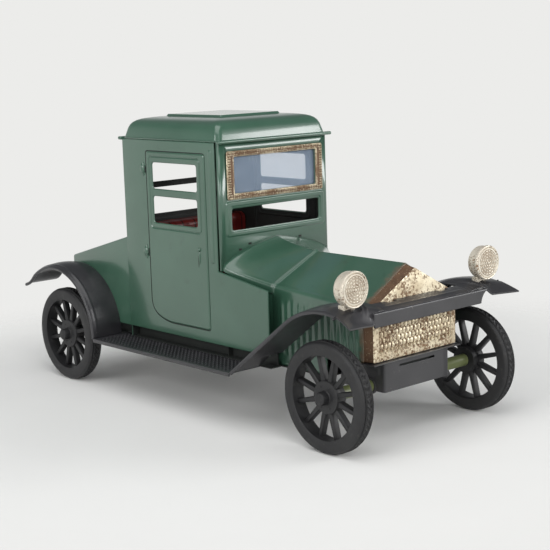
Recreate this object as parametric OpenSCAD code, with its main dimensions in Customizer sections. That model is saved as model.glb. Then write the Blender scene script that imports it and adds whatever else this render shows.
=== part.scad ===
// Friction-drive tin car: a veteran coupe pressed from tinplate, with a flywheel
// motor on its rear axle. Millimetres, +X is forward, +Y is the car's left, +Z is up,
// and the origin is on the ground below the middle of the car.

/* [Overall] */
// Length from the rear fender tips to the front of the front wheels
overall_l = 199.5; // [190:0.5:210]
// Distance between the two axles
wheelbase = 154; // [150:0.5:156]
// Thickness of the tinplate
tin = 0.5; // [0.3:0.05:0.6]

/* [Wheels] */
// Diameter of a wheel over its tread
wheel_d = 38.5; // [37:0.5:39]
// Width of the tread
wheel_w = 5.6; // [5:0.1:6.4]
// Distance between the outer faces of a pair of wheels
track_out = 78.6; // [77:0.2:80]
// Number of spokes in a wheel
spokes = 12; // [8:1:14]
// Diameter of both axles
axle_d = 2.4; // [2:0.1:2.8]

/* [Cab] */
// Half the width of the cab over its sides
cab_y = 27.8; // [26:0.1:29]
// Front face of the windscreen panel
screen_x = 16.9; // [15:0.1:19]
// Rear face of the cab
cab_back_x = -42.3; // [-44:0.1:-41]
// Height of the bottom edge of the body sides
sill_z = 25.4; // [24:0.1:27]
// Height of the eaves, where the roof sits
eaves_z = 100.8; // [97:0.1:104]
// Front end of the side panels, ahead of the doors
side_front_x = 41.9; // [39:0.1:44]
// Height of the proud door outline above the side
door_raise = 0.3; // [0.2:0.05:0.4]

/* [Bonnet] */
// Joint between the cowl and the hood
bead_x = 37.6; // [36:0.1:39]
// Rear face of the radiator shell
shell_x = 82.7; // [81:0.1:84]
// Depth of the radiator shell
shell_d = 4; // [3:0.1:4.4]
// Half the width of the hood
hood_y = 21.7; // [20.5:0.1:22.5]
// Height of the ridge along the hood
ridge_z = 59.8; // [57:0.1:62]
// Ribs pressed into each side of the hood
louvres = 12; // [6:1:12]

/* [Fenders] */
// Half the width over the running boards and the fenders
board_y = 41.4; // [40:0.1:42]
// Top of the running boards
board_z = 21.2; // [20.5:0.1:21.3]
// Highest point of the front fenders
front_crest_z = 49.4; // [48:0.1:50]
// Radius of the arch of a rear fender
rear_arch_r = 27; // [26:0.1:27.5]

/* [Lamps] */
// Diameter of a headlight
lamp_d = 12.3; // [11:0.1:13]
// Distance of each lamp from the middle of the car
lamp_y = 33.7; // [32:0.1:35]
// Height of the lamp centres
lamp_z = 56.3; // [56.2:0.1:58]

/* [Motor] */
// Teeth on the large gears
big_teeth = 30; // [28:2:30]
// Teeth on the pinions
small_teeth = 10; // [10:1:12]
// Module of the gears
gear_m = 0.6; // [0.55:0.01:0.6]
// Diameter of the flywheel
fly_d = 20; // [16:0.5:20.4]
// Thickness of the flywheel
fly_w = 6.5; // [4:0.5:7]

/* [Hidden] */

EPS = 0.01;
FINE = 64;
BODY_GREEN = "#64806f";
FENDER_BLACK = "#3a3b3c";
WHEEL_BLACK = "#333436";
NICKEL = "#d3c5a0";
STEEL = "#b9bcc0";
GEAR_BRASS = "#c2a45a";
SLEEVE_OLIVE = "#6e7d3c";

axle_z = wheel_d / 2;
front_axle_x = overall_l / 2 - wheel_d / 2;
rear_axle_x = front_axle_x - wheelbase;
running_gap = 0.05;

// The floor pan, whose raised edge carries the cab.
pan_top = board_z;
pan_y = cab_y - tin;
deck_back_x = -82.8;
motor_hole_front_x = -41;
motor_hole_y = 10.6;
axle_slot = 5;
pan_front_x = 70;

// The wheels.
wheel_y = track_out / 2;
rim_r = 0.745 * axle_z;
hub_r = 5.8;
boss_r = 2.3;
barrel_r = 5;
boss_out = 1.6;
barrel_in = 0.8;
spoke_w = 1.9;
spoke_tip_w = 1.4;
spoke_d = 2.6;
spoke_set = 1.9;
hub_cap = 0.7;
axle_l = 2 * (wheel_y + boss_out - hub_cap);

// The box under the radiator that carries the front axle.
ledge_top = 28.4;
ledge_y = 22.2;
ledge_front_x = 88.3;
box_y = 16.6;
box_front_x = 87.4;
box_back_x = 66;
box_bottom_z = 17.7;
lug_r = 3;
sleeve_d = 4.4;
sleeve_gap = 0.3;

// The cowl and the hood, as heights of the ridge and of the shoulders.
cowl_top_z = 64;
cowl_edge_z = 54.6;
cowl_y = cab_y - 0.8;
bead_foot_z = 47;
bead_w = 1.1;
bead_h = 0.5;
skirt_h = 1;
bead_shoulder_z = 50.1;
nose_shoulder_z = 47.1;
shell_ridge_z = 58.7;
shell_y = hood_y - 0.3;
nose_x = shell_x + shell_d;

// The fenders. The front one is a straight leg and one arc, the rear one an arc and
// a straight tail.
front_leg_x = 35;
front_crest_x = 83;
front_arc_r = 30.8;
front_leg_a = 38;
front_tip_x = 98;
front_tip_y = 42.7;
bridge_x = 93.5;
bridge_y = 29;
bridge_low_z = 42.8;
lip = 1.6;
rear_arch_x = -77;
board_back_x = rear_arch_x + rear_arch_r;
rear_arch_z = board_z - tin;
rear_tail_a = 36;
rear_tip_x = -overall_l / 2;
tail_y = 26;

// The windows, as [x low, z low, x high, z high] on the sides and [half width, z low,
// z high] on the front and the back.
side_upper = [-23, 82, 4.2, 92.2];
side_lower = [-23, 68.8, 4, 79.2];
screen_upper = [20.6, 81.7, 95.2];
screen_lower = [22.1, 68.1, 76.2];
back_upper = [16, 82.3, 92.2];
back_lower = [16, 69.3, 79.9];
door = [-27, 29.9, 9.4, 96.7];
door_notch = 6;
seat_back_t = 9;
seat_top_z = 66.5;

// The side panel's step down beside the cowl.
side_back_x = screen_x - 2.3;
ledge_back_z = 53.4;
ledge_front_z = 49.2;

// The roof.
roof_crown_z = 109.1;
panel_z = 110;
roof_lip = 2;
lip_hem = 0.4;

// The gears, whose teeth are short and stout so that a small pinion runs freely.
pressure_a = 25;
addendum = 0.8 * gear_m;
dedendum = gear_m;
backlash = 0.12;
mesh_c = gear_m * (big_teeth + small_teeth) / 2;
lay_a = 45;
fly_a = -15;
lay_x = rear_axle_x + mesh_c * cos(lay_a);
lay_z = axle_z + mesh_c * sin(lay_a);
fly_x = lay_x + mesh_c * cos(fly_a);
fly_z = lay_z + mesh_c * sin(fly_a);
shaft_d = 1.8;
plate_in_y = 9;
plate_t = 0.6;
stage1_y = 5.4;
stage2_y = 1.4;
gear_w = 2;
pinion_w = 2.8;
half_step = 180 / small_teeth;
post_d = 2.5;
posts = [[-77.5, 33], [-47, 36], [-62, 14.8]];

// Extrudes a side view, drawn in X and Z, from y0 to y1.
module side_view(y0, y1) {
    translate([0, y1, 0])
        rotate([90, 0, 0])
            linear_extrude(y1 - y0)
                children();
}

// Extrudes a front view, drawn in Y and Z, from x0 to x1.
module front_view(x0, x1) {
    translate([x0, 0, 0])
        rotate([90, 0, 90])
            linear_extrude(x1 - x0)
                children();
}

// A rectangle between two corners.
module span(x0, y0, x1, y1) {
    translate([x0, y0])
        square([x1 - x0, y1 - y0]);
}

// A rectangle with round corners.
module round_span(x0, y0, x1, y1, r) {
    span(x0 + r, y0, x1 - r, y1);
    span(x0, y0 + r, x1, y1 - r);
    for (x = [x0 + r, x1 - r], y = [y0 + r, y1 - r])
        translate([x, y])
            circle(r, $fn = FINE);
}

// A rod of diameter d along Y.
module rod(x, z, y0, y1, d) {
    translate([x, y1, z])
        rotate([90, 0, 0])
            cylinder(d = d, h = y1 - y0, $fn = FINE);
}

// The car's left-hand twin of a right-hand part.
module left() {
    mirror([0, 1, 0])
        children();
}

// ---- Floor pan, apron and running boards ----

module base_plate() {
    cab_front_x = side_front_x;
    color(FENDER_BLACK) {
        difference() {
            union() {
                translate([deck_back_x + tin, -pan_y, pan_top - tin])
                    cube([cab_front_x - deck_back_x - tin, 2 * pan_y, tin]);
                translate([cab_front_x - 1, -ledge_y, pan_top - tin])
                    cube([pan_front_x - cab_front_x + 1, 2 * ledge_y, tin]);
            }
            translate([deck_back_x, -motor_hole_y, pan_top - 2 * tin])
                cube([motor_hole_front_x - deck_back_x, 2 * motor_hole_y, 3 * tin]);
            translate([rear_axle_x - axle_slot / 2, -board_y, pan_top - 2 * tin])
                cube([axle_slot, 2 * board_y, 3 * tin]);
            for (s = [-1, 1])
                translate([pan_front_x + box_back_x, s * (box_y + ledge_y), 0] / 2
                        + [0, 0, pan_top])
                    cube([pan_front_x - box_back_x + EPS,
                        ledge_y - box_y + 2 * tin + EPS, 3], center = true);
        }
        for (s = [-1, 1])
            translate([deck_back_x + tin, s * (pan_y - tin / 2) - tin / 2, pan_top - EPS])
                cube([side_front_x - deck_back_x - tin, tin, sill_z - pan_top + EPS]);
    }
}

// Outline of an apron side plate, with the lug that holds the axle.
module apron_cheek() {
    span(box_back_x, box_bottom_z + 1, box_front_x, ledge_top - tin);
    translate([front_axle_x, axle_z])
        circle(lug_r, $fn = FINE);
}

module front_apron() {
    color(FENDER_BLACK) {
        translate([box_back_x, -ledge_y, ledge_top - tin])
            cube([ledge_front_x - box_back_x, 2 * ledge_y, tin]);
        difference() {
            front_view(box_front_x - tin, box_front_x)
                span(-box_y, box_bottom_z, box_y, ledge_top - tin + EPS);
            front_view(box_front_x - 2 * tin, box_front_x + tin)
                span(-9, 25.7, 9, 26.5);
        }
        for (s = [-1, 1])
            difference() {
                side_view(s * (box_y - tin / 2) - tin / 2, s * (box_y - tin / 2) + tin / 2)
                    apron_cheek();
                rod(front_axle_x, axle_z, -ledge_y, ledge_y, axle_d + 2 * running_gap);
            }
    }
}

module running_board() {
    tread_rows = 5;
    color(FENDER_BLACK) {
        translate([board_back_x, -board_y, board_z - tin])
            cube([front_leg_x - board_back_x, board_y - pan_y, tin]);
        translate([board_back_x, -board_y, board_z - lip])
            cube([front_leg_x - board_back_x, tin, lip]);
        for (i = [0:tread_rows - 1])
            translate([board_back_x + 3, -board_y + 2 + i * 2.2, board_z - EPS])
                cube([front_leg_x - board_back_x - 6, 1, 0.2 + EPS]);
    }
}

// ---- Fenders ----

// Points of the front fender's upper side, lowered by d.
function front_curve(d) = concat(
    [[front_leg_x, board_z - d]],
    [for (a = [-front_leg_a:2:28])
        [front_crest_x + (front_arc_r - d) * sin(a),
            front_crest_z - front_arc_r + (front_arc_r - d) * cos(a)]],
    [[front_tip_x + 1, front_crest_z - 4.3 - d]]);

function backwards(p) = [for (i = [len(p) - 1:-1:0]) p[i]];

// Side view of a band that hangs d below the front fender's upper side.
module front_band(d) {
    polygon(concat(front_curve(0), backwards(front_curve(d))));
}

// Plan of the right front fender and half of the bridge.
module front_plan() {
    side_y = cab_y;
    polygon([[front_leg_x, -board_y], [88, -board_y], [front_tip_x, -front_tip_y],
        [95.6, -32.5], [bridge_x, -bridge_y], [bridge_x, EPS], [nose_x, EPS],
        [nose_x, -hood_y], [side_front_x, -hood_y],
        [side_front_x, -side_y], [front_leg_x, -side_y]]);
}

// The drop at the front of the bridge, whose ends sweep up into the fenders.
module bridge_face() {
    difference() {
        span(-bridge_y - 3, bridge_low_z, bridge_y + 3, 47.4);
        for (s = [-1, 1])
            translate([s * (bridge_y + 3.2), bridge_low_z - 0.4])
                circle(5.2, $fn = FINE);
    }
}

module right_front_fender() {
    intersection() {
        side_view(-front_tip_y, EPS)
            front_band(tin);
        linear_extrude(60)
            front_plan();
    }
    intersection() {
        side_view(-board_y, -board_y + tin)
            front_band(lip);
        translate([0, -50, 0])
            cube([90, 50, 60]);
    }
}

module front_fender_bridge() {
    color(FENDER_BLACK) {
        right_front_fender();
        left()
            right_front_fender();
        front_view(bridge_x - tin, bridge_x)
            bridge_face();
    }
}

// Points of the rear fender's upper side, lowered by d.
function rear_curve(d) = concat(
    [for (a = [0:3:90 + rear_tail_a])
        [rear_arch_x + (rear_arch_r - d) * cos(a), rear_arch_z + (rear_arch_r - d) * sin(a)]],
    [[rear_tip_x, 38.3 - d]]);

module rear_band(d) {
    polygon(concat(rear_curve(0), backwards(rear_curve(d))));
}

module rear_fender() {
    color(FENDER_BLACK) {
        difference() {
            side_view(-board_y, -tail_y)
                rear_band(tin);
            translate([deck_back_x, -pan_y, 0])
                cube([60, 10, 60]);
        }
        side_view(-board_y, -board_y + tin)
            rear_band(lip);
    }
}

// ---- Cab ----

// Side view of a side panel, with the stretch that runs forward beside the cowl.
module side_outline() {
    polygon([[cab_back_x, sill_z], [side_front_x, sill_z], [side_front_x, ledge_front_z],
        [side_back_x, ledge_back_z], [side_back_x, eaves_z], [cab_back_x, eaves_z]]);
}

// The door's outline, whose lower rear corner clears the rear fender.
module door_outline() {
    difference() {
        span(door[0], door[1], door[2], door[3]);
        difference() {
            span(door[0] - EPS, door[1] - EPS, door[0] + 2 * door_notch,
                door[1] + door_notch);
            translate([door[0] + 2 * door_notch, door[1] + door_notch])
                scale([2, 1])
                    circle(door_notch, $fn = FINE);
        }
    }
}

module side_windows() {
    for (w = [side_upper, side_lower])
        span(w[0], w[1], w[2], w[3]);
}

module cab_side() {
    groove = 0.7;
    color(BODY_GREEN) {
        side_view(-cab_y, -pan_y)
            difference() {
                side_outline();
                side_windows();
            }
        side_view(-cab_y - door_raise, -cab_y + EPS)
            difference() {
                door_outline();
                offset(delta = 0.9)
                    side_windows();
                span(door[0] + 2, 66.2, door[2] - 2.6, 66.2 + groove);
            }
        for (z = [57, 89.5])
            translate([-28.6, -cab_y, z - 2.5])
                cylinder(d = 1.5, h = 5, $fn = FINE);
        translate([4.4, -cab_y - door_raise, 54.5])
            cylinder(d = 1.5, h = 6.8, $fn = FINE);
        side_view(-cab_y, -cab_y + 1.5)
            polygon([[side_back_x, ledge_back_z], [side_front_x, ledge_front_z],
                [side_front_x, ledge_front_z - tin], [side_back_x, ledge_back_z - tin]]);
    }
}

module cab_back() {
    color(BODY_GREEN)
        front_view(cab_back_x, cab_back_x + tin)
            difference() {
                span(-pan_y, pan_top, pan_y, eaves_z);
                for (w = [back_upper, back_lower])
                    span(-w[0], w[1], w[0], w[2]);
                for (s = [-1, 1])
                    span(s * (pan_y - tin / 2) - tin / 2 - EPS, pan_top - EPS,
                        s * (pan_y - tin / 2) + tin / 2 + EPS, sill_z);
            }
}

// The windscreen panel, whose lower part is the narrower firewall under the cowl.
module windscreen_panel() {
    corner = 4;
    firewall_y = 26;
    firewall_top_z = 54;
    color(BODY_GREEN) {
        front_view(screen_x - tin, screen_x)
            difference() {
                union() {
                    span(-firewall_y, pan_top, firewall_y, firewall_top_z + EPS);
                    span(-pan_y, firewall_top_z, pan_y, eaves_z);
                }
                span(-screen_upper[0], screen_upper[1], screen_upper[0], screen_upper[2]);
                span(-screen_lower[0], screen_lower[1], screen_lower[0], screen_lower[2]);
            }
        front_view(screen_x - EPS, screen_x + 0.5)
            difference() {
                span(-24.2, 66.5, 24.2, 78.3);
                span(-screen_lower[0], screen_lower[1], screen_lower[0], screen_lower[2]);
            }
        for (s = [-1, 1])
            translate([screen_x - corner, s * (pan_y - tin / 2) - tin / 2, firewall_top_z])
                cube([corner - tin + EPS, tin, eaves_z - firewall_top_z]);
    }
}

module windscreen_frame() {
    color(NICKEL)
        difference() {
            union() {
                front_view(screen_x, screen_x + 0.5)
                    round_span(-24.1, 79.5, 24.1, 97.4, 1);
                front_view(screen_x + 0.5 - EPS, screen_x + 0.9)
                    round_span(-23.3, 80.3, 23.3, 96.6, 1);
            }
            front_view(screen_x - 1, screen_x + 2)
                span(-screen_upper[0], screen_upper[1], screen_upper[0], screen_upper[2]);
        }
}

module windscreen_pane() {
    color("#b4c8dc", 0.45)
        front_view(screen_x - tin - 0.4, screen_x - tin)
            span(-22.6, 79.8, 22.6, 97);
}

// One level of the roof: a rounded rectangle drawn in from the eaves by inset, and by
// rake more at the front.
module roof_level(z, inset, r, rake = 0) {
    translate([0, 0, z])
        linear_extrude(0.1)
            round_span(cab_back_x + inset, -cab_y + inset, screen_x - inset - rake,
                cab_y - inset, r);
}

module roof_dome(t) {
    hull() {
        roof_level(eaves_z, t, 2.5, $fn = 24);
        roof_level(eaves_z + 5 - t, 1 + t, 3, 2, $fn = 24);
        roof_level(eaves_z + 6.7 - t, 2.1 + t, 4, 3, $fn = 24);
        roof_level(eaves_z + 7.6 - t, 4.4 + t, 5, 4, $fn = 24);
        roof_level(roof_crown_z - 0.1 - t, 9 + t, 5, 0, $fn = 24);
    }
}

// A lip along the foot of the roof at x, with a hem, that stands out towards s.
module roof_edge(x, s) {
    edge_y = cab_y + 0.6;
    translate([x, 0, eaves_z])
        side_view(-edge_y, edge_y)
            polygon([[-s, 0], [0, 0], [0, -lip_hem], [s * roof_lip, -lip_hem],
                [s * roof_lip, tin], [-s, tin]]);
}

module roof() {
    color(BODY_GREEN) {
        difference() {
            roof_dome(0);
            translate([0, 0, -EPS])
                roof_dome(tin);
        }
        hull() {
            roof_level(roof_crown_z - 0.3, 9.2, 3);
            roof_level(panel_z - 0.1, 10.4, 3);
        }
        roof_edge(cab_back_x, -1);
        roof_edge(screen_x, 1);
    }
}

module rear_deck() {
    top_front_z = 61.7;
    top_back_z = 50.4;
    color(BODY_GREEN)
        difference() {
            side_view(-pan_y, pan_y)
                polygon([[deck_back_x, sill_z], [cab_back_x, sill_z],
                    [cab_back_x, top_front_z], [deck_back_x, top_back_z]]);
            side_view(-pan_y + tin, pan_y - tin)
                polygon([[deck_back_x + tin, 0], [0, 0],
                    [0, top_front_z + 11], [deck_back_x + tin, top_back_z - tin]]);
        }
}

// Side view of the seat, a bench whose back leans on the cab's rear wall.
module seat_outline() {
    back_x = cab_back_x + tin;
    round_span(back_x, 40, back_x + seat_back_t, seat_top_z, 2.5);
    round_span(back_x, 42, back_x + 30, 50, 3);
    span(back_x, pan_top, back_x + 28, 46);
    span(back_x, pan_top, back_x + 3, 60);
}

module seat() {
    seat_y = pan_y - tin;
    color("#8a2a26")
        side_view(-seat_y, seat_y)
            difference() {
                seat_outline();
                offset(delta = -tin)
                    seat_outline();
            }
}

// ---- Cowl, hood and radiator ----

// The cowl's rear section: an arch with low, upright edges.
module cowl_arch(t) {
    rise = cowl_top_z - cowl_edge_z;
    polygon(concat(
        [[-cowl_y + t, cowl_edge_z - skirt_h - t]],
        [for (a = [180:-7.5:0])
            [(cowl_y - t) * cos(a), cowl_edge_z + (rise - t) * sin(a)]],
        [[cowl_y - t, cowl_edge_z - skirt_h - t]]));
}

// A gable section with its shoulders at height shoulder and its feet at height foot.
module gable(shoulder, ridge, foot, t) {
    polygon([[-hood_y + t, foot], [-hood_y + t, shoulder - 1 - t / 2],
        [-hood_y + 0.8 + t, shoulder - t / 2], [0, ridge - t],
        [hood_y - 0.8 - t, shoulder - t / 2], [hood_y - t, shoulder - 1 - t / 2],
        [hood_y - t, foot]]);
}

module cowl_form(t, reach) {
    hull() {
        front_view(screen_x - reach, screen_x - reach + 0.02)
            cowl_arch(t);
        front_view(bead_x + reach - 0.02, bead_x + reach)
            gable(bead_shoulder_z, ridge_z, bead_foot_z - reach, t);
    }
}

module cowl() {
    color(BODY_GREEN)
        difference() {
            cowl_form(0, 0);
            cowl_form(tin, EPS);
        }
}

module hood_form(t, reach) {
    hull() {
        front_view(bead_x - reach, bead_x + bead_w)
            gable(bead_shoulder_z, ridge_z, pan_top - reach, t);
        front_view(shell_x - lip / 2, shell_x + reach)
            gable(nose_shoulder_z, ridge_z, pan_top - reach, t);
    }
}

module hood() {
    pitch = (shell_x - bead_x - 8) / louvres;
    color(BODY_GREEN) {
        difference() {
            hood_form(0, 0);
            hood_form(tin, EPS);
            for (s = [-1, 1])
                translate([box_back_x - 1, s * hood_y - 2, 0])
                    cube([30, 4, ledge_top]);
        }
        difference() {
            front_view(bead_x, bead_x + bead_w)
                gable(bead_shoulder_z, ridge_z, bead_foot_z, -bead_h);
            front_view(bead_x - 1, bead_x + 2)
                gable(bead_shoulder_z, ridge_z, 0, tin / 2);
        }
        difference() {
            for (s = [-1, 1], i = [0:louvres - 1])
                translate([bead_x + 5 + i * pitch, s * hood_y, ledge_top + 1])
                    cylinder(d = 0.9, h = 14, $fn = 24);
            side_view(-board_y, board_y)
                front_band(tin);
        }
    }
}

// Front view of the radiator shell, drawn in by t.
module shell_outline(t) {
    polygon([[-shell_y + t, ledge_top + t], [shell_y - t, ledge_top + t],
        [shell_y - t, nose_shoulder_z - 0.6 - t / 2], [0, shell_ridge_z + 0.4 - 1.15 * t],
        [-shell_y + t, nose_shoulder_z - 0.6 - t / 2]]);
}

module radiator_shell() {
    mesh_y = 18.5;
    mesh_low = 31.3;
    mesh_high = 42;
    recess = 0.6;
    color(NICKEL)
        difference() {
            front_view(shell_x, nose_x)
                shell_outline(0);
            front_view(shell_x - EPS, nose_x - 2 * tin)
                shell_outline(tin);
            front_view(nose_x - recess, nose_x + 1)
                difference() {
                    span(-mesh_y, mesh_low, mesh_y, mesh_high);
                    for (i = [-12:12])
                        span(i * 1.48 - 0.3, 0, i * 1.48 + 0.3, 60);
                    for (i = [0:7])
                        span(-mesh_y, mesh_low + 0.3 + i * 1.5, mesh_y,
                            mesh_low + 0.8 + i * 1.5);
                }
        }
}

// ---- Headlights ----

module headlight_shell() {
    rim_x = 91.2;
    depth = 6.6;
    foot_x = 87.5;
    r = lamp_d / 2;
    fender_z = front_crest_z - front_arc_r
        + sqrt(pow(front_arc_r, 2) - pow(foot_x - front_crest_x, 2));
    color(NICKEL)
        difference() {
            union() {
                translate([rim_x, -lamp_y, lamp_z])
                    rotate([0, -90, 0])
                        rotate_extrude($fn = FINE)
                            polygon(concat([[0, 0], [r, 0], [r, 0.7], [r - 0.3, 1],
                                [r - 0.3, 3]],
                                [for (a = [0:15:90])
                                    [(r - 0.3) * cos(a), 3 + (depth - 3) * sin(a)]]));
                translate([foot_x - 1.2, -lamp_y - 3, fender_z - 0.05])
                    cube([2.4, 6, lamp_z - r - fender_z + 1]);
            }
            translate([rim_x + EPS, -lamp_y, lamp_z])
                rotate([0, -90, 0])
                    rotate_extrude($fn = FINE)
                        polygon(concat([[0, 0], [r - 0.7, 0], [r - 0.7, 3]],
                            [for (a = [0:15:90])
                                [(r - 0.7) * cos(a), 3 + (depth - 3.5) * sin(a)]]));
            side_view(-lamp_y - 4, -lamp_y + 4)
                polygon([[80, 45], for (a = [-5:1:20])
                    [front_crest_x + front_arc_r * sin(a),
                        front_crest_z - front_arc_r + front_arc_r * cos(a)], [96, 45]]);
        }
}

module headlight_lens() {
    rings = 4;
    r = lamp_d / 2 - 0.7;
    color(NICKEL)
        translate([91.2, -lamp_y, lamp_z])
            rotate([0, 90, 0])
                difference() {
                    union() {
                        translate([0, 0, -0.6])
                            cylinder(r = r, h = 0.6, $fn = FINE);
                        translate([0, 0, -EPS])
                            cylinder(r1 = r, r2 = r - 0.8, h = 0.5, $fn = FINE);
                    }
                    for (i = [1:rings])
                        translate([0, 0, 0.25])
                            difference() {
                                cylinder(r = i * 1.05 + 0.25, h = 1, $fn = FINE);
                                translate([0, 0, -1])
                                    cylinder(r = i * 1.05 - 0.25, h = 3, $fn = FINE);
                            }
                }
}

// ---- Wheels and axles ----

// A wheel about the Y axis with its outer face at y = -wheel_y, for the right side.
module wheel() {
    r = axle_z;
    shoulder = 1;
    spoke_out = -wheel_y + spoke_set;
    color(WHEEL_BLACK)
        difference() {
            union() {
                rotate([90, 0, 0])
                    rotate_extrude($fn = 96)
                        polygon([[rim_r, wheel_y - wheel_w], [r - shoulder, wheel_y - wheel_w],
                            [r - 0.25, wheel_y - wheel_w + 0.5], [r, wheel_y - wheel_w + 1.3],
                            [r, wheel_y - 1.3], [r - 0.25, wheel_y - 0.5],
                            [r - shoulder, wheel_y], [rim_r, wheel_y]]);
                for (i = [0:spokes - 1])
                    rotate([0, (i + 0.5) * 360 / spokes, 0])
                        side_view(spoke_out, spoke_out + spoke_d)
                            polygon([[0, -spoke_w / 2], [rim_r + 0.3, -spoke_tip_w / 2],
                                [rim_r + 0.3, spoke_tip_w / 2], [0, spoke_w / 2]]);
                rod(0, 0, spoke_out - 0.5, spoke_out + spoke_d, 2 * hub_r);
                rod(0, 0, -wheel_y - boss_out, spoke_out + EPS, 2 * boss_r);
                rod(0, 0, spoke_out, -wheel_y + wheel_w + barrel_in, 2 * barrel_r);
            }
            rod(0, 0, -axle_l / 2, 0, axle_d);
        }
}

module placed_wheel(x) {
    translate([x, 0, axle_z])
        wheel();
}

module axle(x) {
    color(STEEL)
        rod(x, axle_z, -axle_l / 2, axle_l / 2, axle_d);
}

module front_sleeve() {
    color(SLEEVE_OLIVE)
        difference() {
            rod(front_axle_x, axle_z, -wheel_y + wheel_w + barrel_in, -box_y - sleeve_gap,
                sleeve_d);
            rod(front_axle_x, axle_z, -wheel_y, 0, axle_d);
        }
}

// ---- Friction motor ----

// Flat pattern of a motor side plate.
module motor_cheek() {
    polygon([[-81, 15.5], [-78, 12.6], [-47, 12.6], [-43.2, 17], [-43.2, 39],
        [-70, 39], [-81, 33]]);
}

module motor_plate() {
    foot_w = 8;
    bearing_d = shaft_d + 2 * running_gap;
    color(STEEL)
        difference() {
            union() {
                side_view(-plate_in_y - plate_t, -plate_in_y)
                    motor_cheek();
                for (x = [-80, -53])
                    translate([x, -plate_in_y - 4.5, pan_top])
                        cube([foot_w, 4.5, plate_t]);
            }
            rod(rear_axle_x, axle_z, -20, 0, axle_d + 2 * running_gap);
            for (p = [[lay_x, lay_z], [fly_x, fly_z]])
                rod(p[0], p[1], -20, 0, bearing_d);
        }
}

module motor_posts() {
    color(STEEL)
        for (p = posts)
            rod(p[0], p[1], -plate_in_y, plate_in_y, post_d);
}

// Angle by which an involute has turned at radius r, from its base circle rb.
function unwound(r, rb) =
    let (a = acos(min(1, rb / r)))
        tan(a) * 180 / PI - a;

// Flank of a tooth, from the root to the tip, as points at an angle from its middle.
function flank(teeth, side) =
    let (
        rp = gear_m * teeth / 2,
        rb = rp * cos(pressure_a),
        r0 = max(rb, rp - dedendum - 0.05),
        r1 = rp + addendum,
        half = (PI * gear_m / 4 - backlash / 2) / rp * 180 / PI + unwound(rp, rb)
    )
    [for (i = [0:4])
        let (r = r0 + (r1 - r0) * i / 4, a = side * (half - unwound(r, rb)))
            [r * cos(a), r * sin(a)]];

module gear_outline(teeth) {
    root = gear_m * teeth / 2 - dedendum;
    circle(root, $fn = FINE);
    for (i = [0:teeth - 1])
        rotate(i * 360 / teeth)
            polygon(concat([[0, 0]], flank(teeth, -1), backwards(flank(teeth, 1))));
}

// A gear on a shaft at (x, z), with the middle of one tooth at the given angle.
module gear(x, z, y0, width, teeth, angle, bore) {
    difference() {
        translate([x, 0, z])
            side_view(y0, y0 + width)
                rotate(angle)
                    gear_outline(teeth);
        rod(x, z, -20, 20, bore);
    }
}

module axle_gear() {
    color(GEAR_BRASS)
        gear(rear_axle_x, axle_z, stage1_y + (pinion_w - gear_w) / 2, gear_w, big_teeth,
            lay_a, axle_d);
}

module layshaft_pinion() {
    color(GEAR_BRASS)
        gear(lay_x, lay_z, stage1_y, pinion_w, small_teeth, lay_a + 180 + half_step,
            shaft_d);
}

module layshaft_gear() {
    color(GEAR_BRASS)
        gear(lay_x, lay_z, stage2_y + (pinion_w - gear_w) / 2, gear_w, big_teeth, fly_a,
            shaft_d);
}

module flywheel_pinion() {
    color(GEAR_BRASS)
        gear(fly_x, fly_z, stage2_y, pinion_w, small_teeth, fly_a + 180 + half_step,
            shaft_d);
}

module motor_shaft(x, z) {
    color(STEEL)
        rod(x, z, -plate_in_y - plate_t, plate_in_y + plate_t, shaft_d);
}

module flywheel() {
    back_y = stage2_y - 1;
    color(STEEL)
        difference() {
            rod(fly_x, fly_z, back_y - fly_w, back_y, fly_d);
            rod(fly_x, fly_z, -20, 20, shaft_d);
        }
}

// ---- The parts ----

base_plate();
front_apron();
running_board();  // running_board_right
left() running_board();  // running_board_left
front_fender_bridge();
rear_fender();  // rear_fender_right
left() rear_fender();  // rear_fender_left
cab_side();  // cab_side_right
left() cab_side();  // cab_side_left
cab_back();
windscreen_panel();
windscreen_frame();
windscreen_pane();
cowl();
hood();
radiator_shell();
roof();
rear_deck();
seat();
headlight_shell();  // headlight_shell_right
left() headlight_shell();  // headlight_shell_left
headlight_lens();  // headlight_lens_right
left() headlight_lens();  // headlight_lens_left
axle(front_axle_x);  // front_axle
front_sleeve();  // front_sleeve_right
left() front_sleeve();  // front_sleeve_left
placed_wheel(front_axle_x);  // wheel_front_right
left() placed_wheel(front_axle_x);  // wheel_front_left
axle(rear_axle_x);  // rear_axle
placed_wheel(rear_axle_x);  // wheel_rear_right
left() placed_wheel(rear_axle_x);  // wheel_rear_left
motor_plate();  // motor_plate_right
left() motor_plate();  // motor_plate_left
motor_posts();
axle_gear();
motor_shaft(lay_x, lay_z);  // layshaft
layshaft_pinion();
layshaft_gear();
motor_shaft(fly_x, fly_z);  // flywheel_shaft
flywheel_pinion();
flywheel();
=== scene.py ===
"""Looks of a friction tin car: enamelled tinplate, pressed fenders and moulded wheels."""

import math

import bmesh
import bpy
from mathutils import Matrix, Vector


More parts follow.
